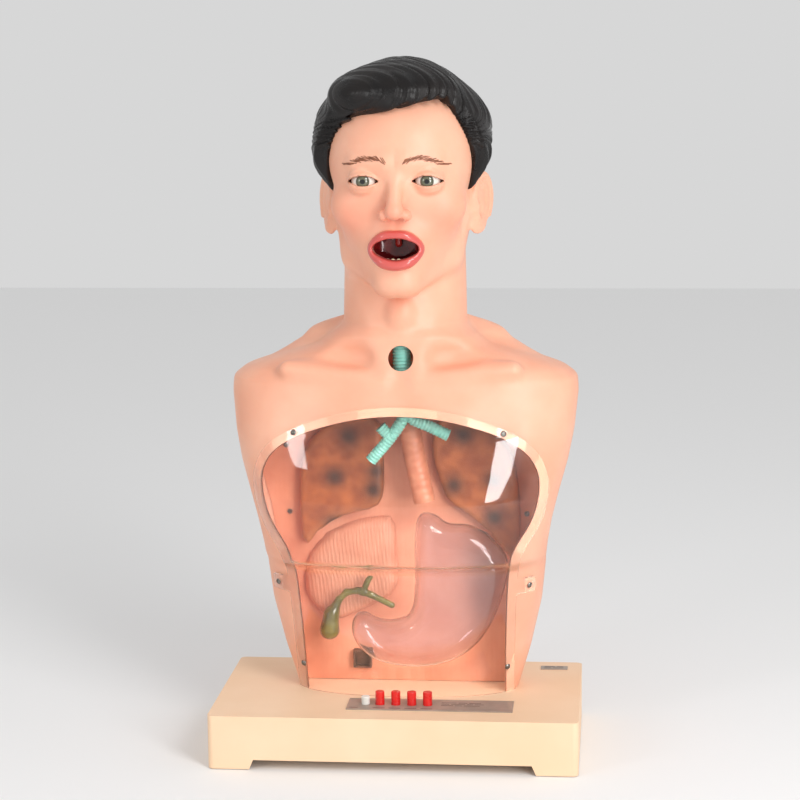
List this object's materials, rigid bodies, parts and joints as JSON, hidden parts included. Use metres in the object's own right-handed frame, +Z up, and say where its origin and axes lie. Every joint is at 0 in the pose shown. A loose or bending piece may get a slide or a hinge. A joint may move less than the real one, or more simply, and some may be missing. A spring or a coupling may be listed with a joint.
{
  "type": "torso anatomy model",
  "caption": "Head and chest teaching figure on a base, with an open mouth, a lift-off clear chest cover over lungs, liver and stomach, and a row of push buttons.",
  "frame": {"origin": "centre of the base's footprint, on the surface the base stands on", "axes": "+Z up, -Y is the way the figure faces, +X is the figure's left side"},
  "size_m": [0.37, 0.21, 0.7033],
  "materials": {
    "base_plastic": "fine moulded texture",
    "skin": "soft satin vinyl",
    "hair": "painted gloss",
    "eye": "painted and clear coated",
    "mouth_red": "gloss",
    "teeth": "gloss",
    "airway": "satin",
    "gullet": "satin",
    "lung": "painted, mottled",
    "liver": "painted, fine striations",
    "clear": "polished clear plastic",
    "bile": "tinted translucent gloss",
    "panel_metal": "satin printed plate",
    "red_key": "gloss",
    "white_key": "gloss",
    "screw_steel": "zinc plated",
    "rubber": "matt",
    "board": "solder mask",
    "black_plastic": "fine texture",
    "cell": "printed sleeve"
  },
  "bodies": {
    "stand": {"base_housing": "base_plastic", "base_floor_plate": "base_plastic", "floor_screws": "screw_steel", "rubber_feet": "rubber", "control_panel": "panel_metal", "name_plate": "panel_metal", "key_switches": "black_plastic", "control_board": "board", "board_standoffs": "base_plastic", "board_screws": "screw_steel", "buzzer": "black_plastic", "battery_tray": "black_plastic", "battery_cells": "cell", "torso_skin": "skin", "torso_brackets": "screw_steel", "torso_screws": "screw_steel", "head_skin": "skin", "hair_cap": "hair", "eye_right": "eye", "eye_left": "eye", "mouth_liner": "mouth_red", "teeth_upper": "teeth", "teeth_lower": "teeth", "tongue": "mouth_red", "uvula": "mouth_red", "throat": "gullet", "trachea": "airway", "bronchi": "airway", "oesophagus": "gullet", "organ_panel": "skin", "panel_ledge": "skin", "panel_screws": "screw_steel", "lung_right": "lung", "lung_left": "lung", "liver": "liver", "stomach": "clear", "gallbladder": "bile", "drain_port": "black_plastic"},
    "cover": {"clear_cover": "clear", "cover_screws": "screw_steel"},
    "power_key": {"power_button": "white_key"},
    "key_1": {"button_1": "red_key"},
    "key_2": {"button_2": "red_key"},
    "key_3": {"button_3": "red_key"},
    "key_4": {"button_4": "red_key"}
  },
  "joints": [
    {"name": "cover_lift", "type": "slide", "parent": "stand", "child": "cover", "axis": [0, -0.809, 0.5878], "range_m": [0, 0.16]},
    {"name": "power_press", "type": "slide", "parent": "stand", "child": "power_key", "axis": [0, 0, -1], "range_m": [0, 0.003], "stiffness_N_per_m": 300, "springref_m": -0.002},
    {"name": "press_1", "type": "slide", "parent": "stand", "child": "key_1", "axis": [0, 0, -1], "range_m": [0, 0.003], "stiffness_N_per_m": 300, "springref_m": -0.002},
    {"name": "press_2", "type": "slide", "parent": "stand", "child": "key_2", "axis": [0, 0, -1], "range_m": [0, 0.003], "stiffness_N_per_m": 300, "springref_m": -0.002},
    {"name": "press_3", "type": "slide", "parent": "stand", "child": "key_3", "axis": [0, 0, -1], "range_m": [0, 0.003], "stiffness_N_per_m": 300, "springref_m": -0.002},
    {"name": "press_4", "type": "slide", "parent": "stand", "child": "key_4", "axis": [0, 0, -1], "range_m": [0, 0.003], "stiffness_N_per_m": 300, "springref_m": -0.002}
  ]
}
